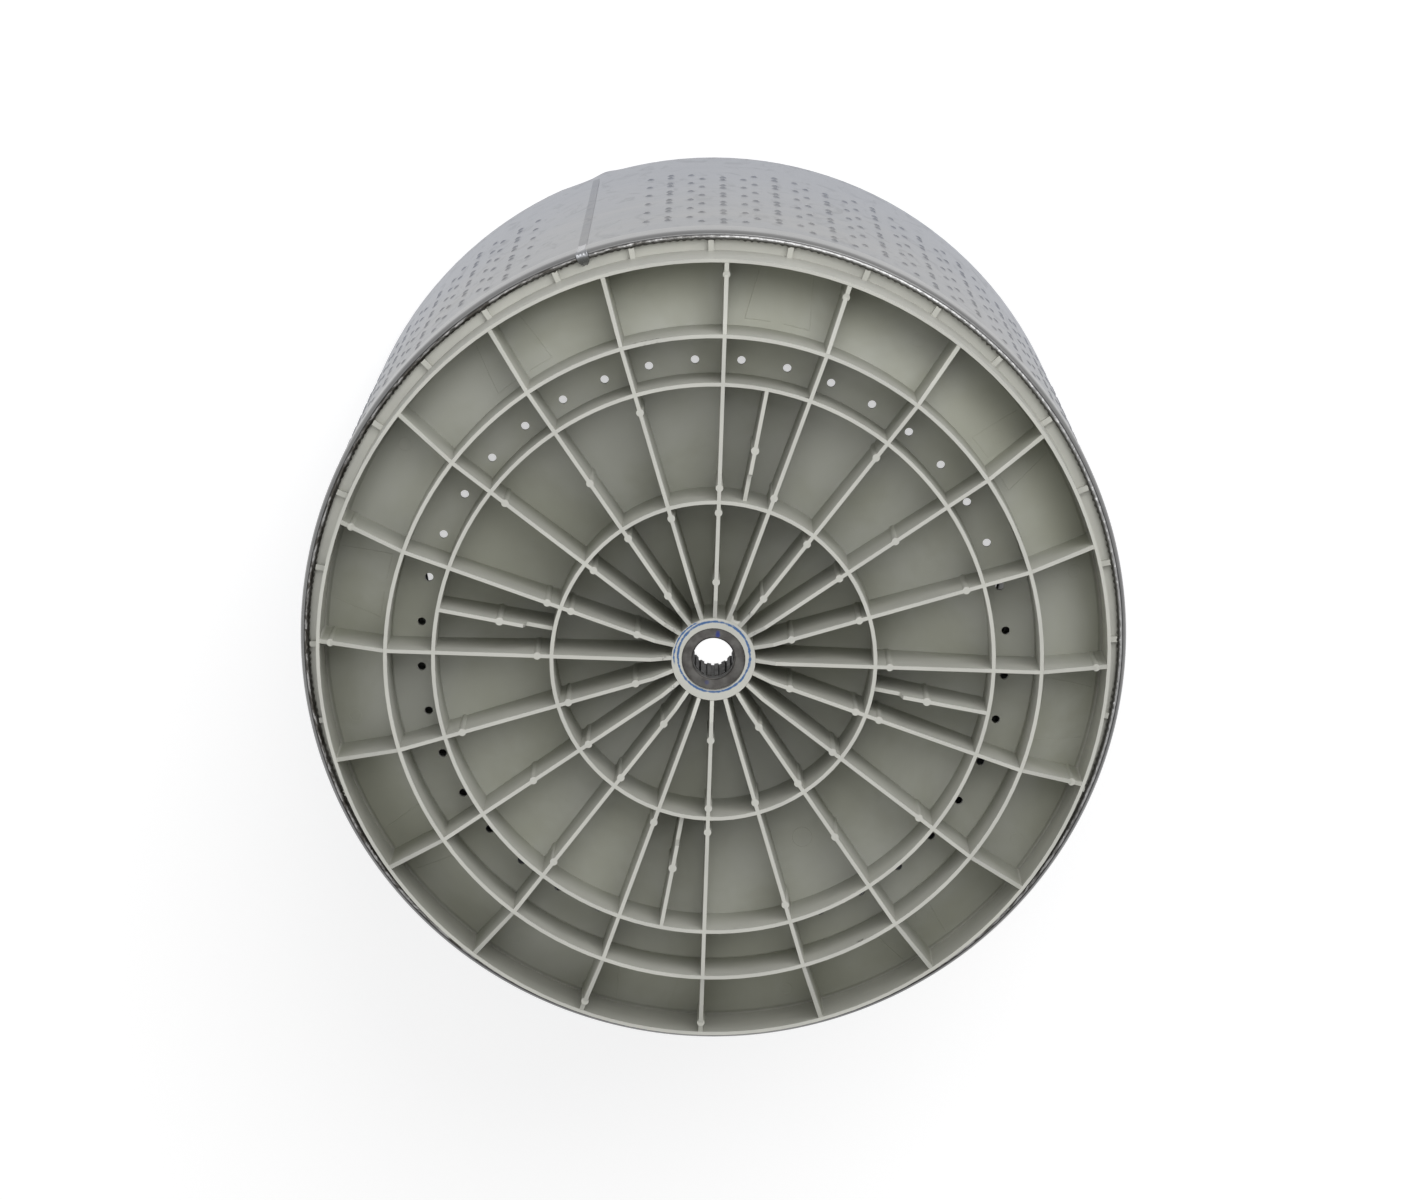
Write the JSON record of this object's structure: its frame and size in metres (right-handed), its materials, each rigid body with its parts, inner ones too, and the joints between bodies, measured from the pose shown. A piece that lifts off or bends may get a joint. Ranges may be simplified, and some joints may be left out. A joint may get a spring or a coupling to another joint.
{
  "type": "washing machine inner basket",
  "caption": "Perforated steel washing machine basket on a ribbed plastic base with a splined metal hub and a balance ring inside the rim.",
  "frame": {"origin": "on the basket's axis, in the plane of the rolled rim that it stands on, at the bottom centre of its bounding box", "axes": "+Z along the axis from the loading opening to the base, +X along one of the long ribs of the base"},
  "size_m": [0.54, 0.54, 0.494],
  "materials": {
    "wrapper_steel": "brushed stainless sheet, slightly dull",
    "base_plastic": "moulded, warm light grey, handled and slightly stained",
    "hub_metal": "turned face, dark grey",
    "ring_plastic": "moulded, light grey"
  },
  "bodies": {
    "root": {"basket_wrapper": "wrapper_steel", "ribbed_base": "base_plastic", "hub_insert": "hub_metal", "balance_ring": "ring_plastic"}
  },
  "joints": []
}
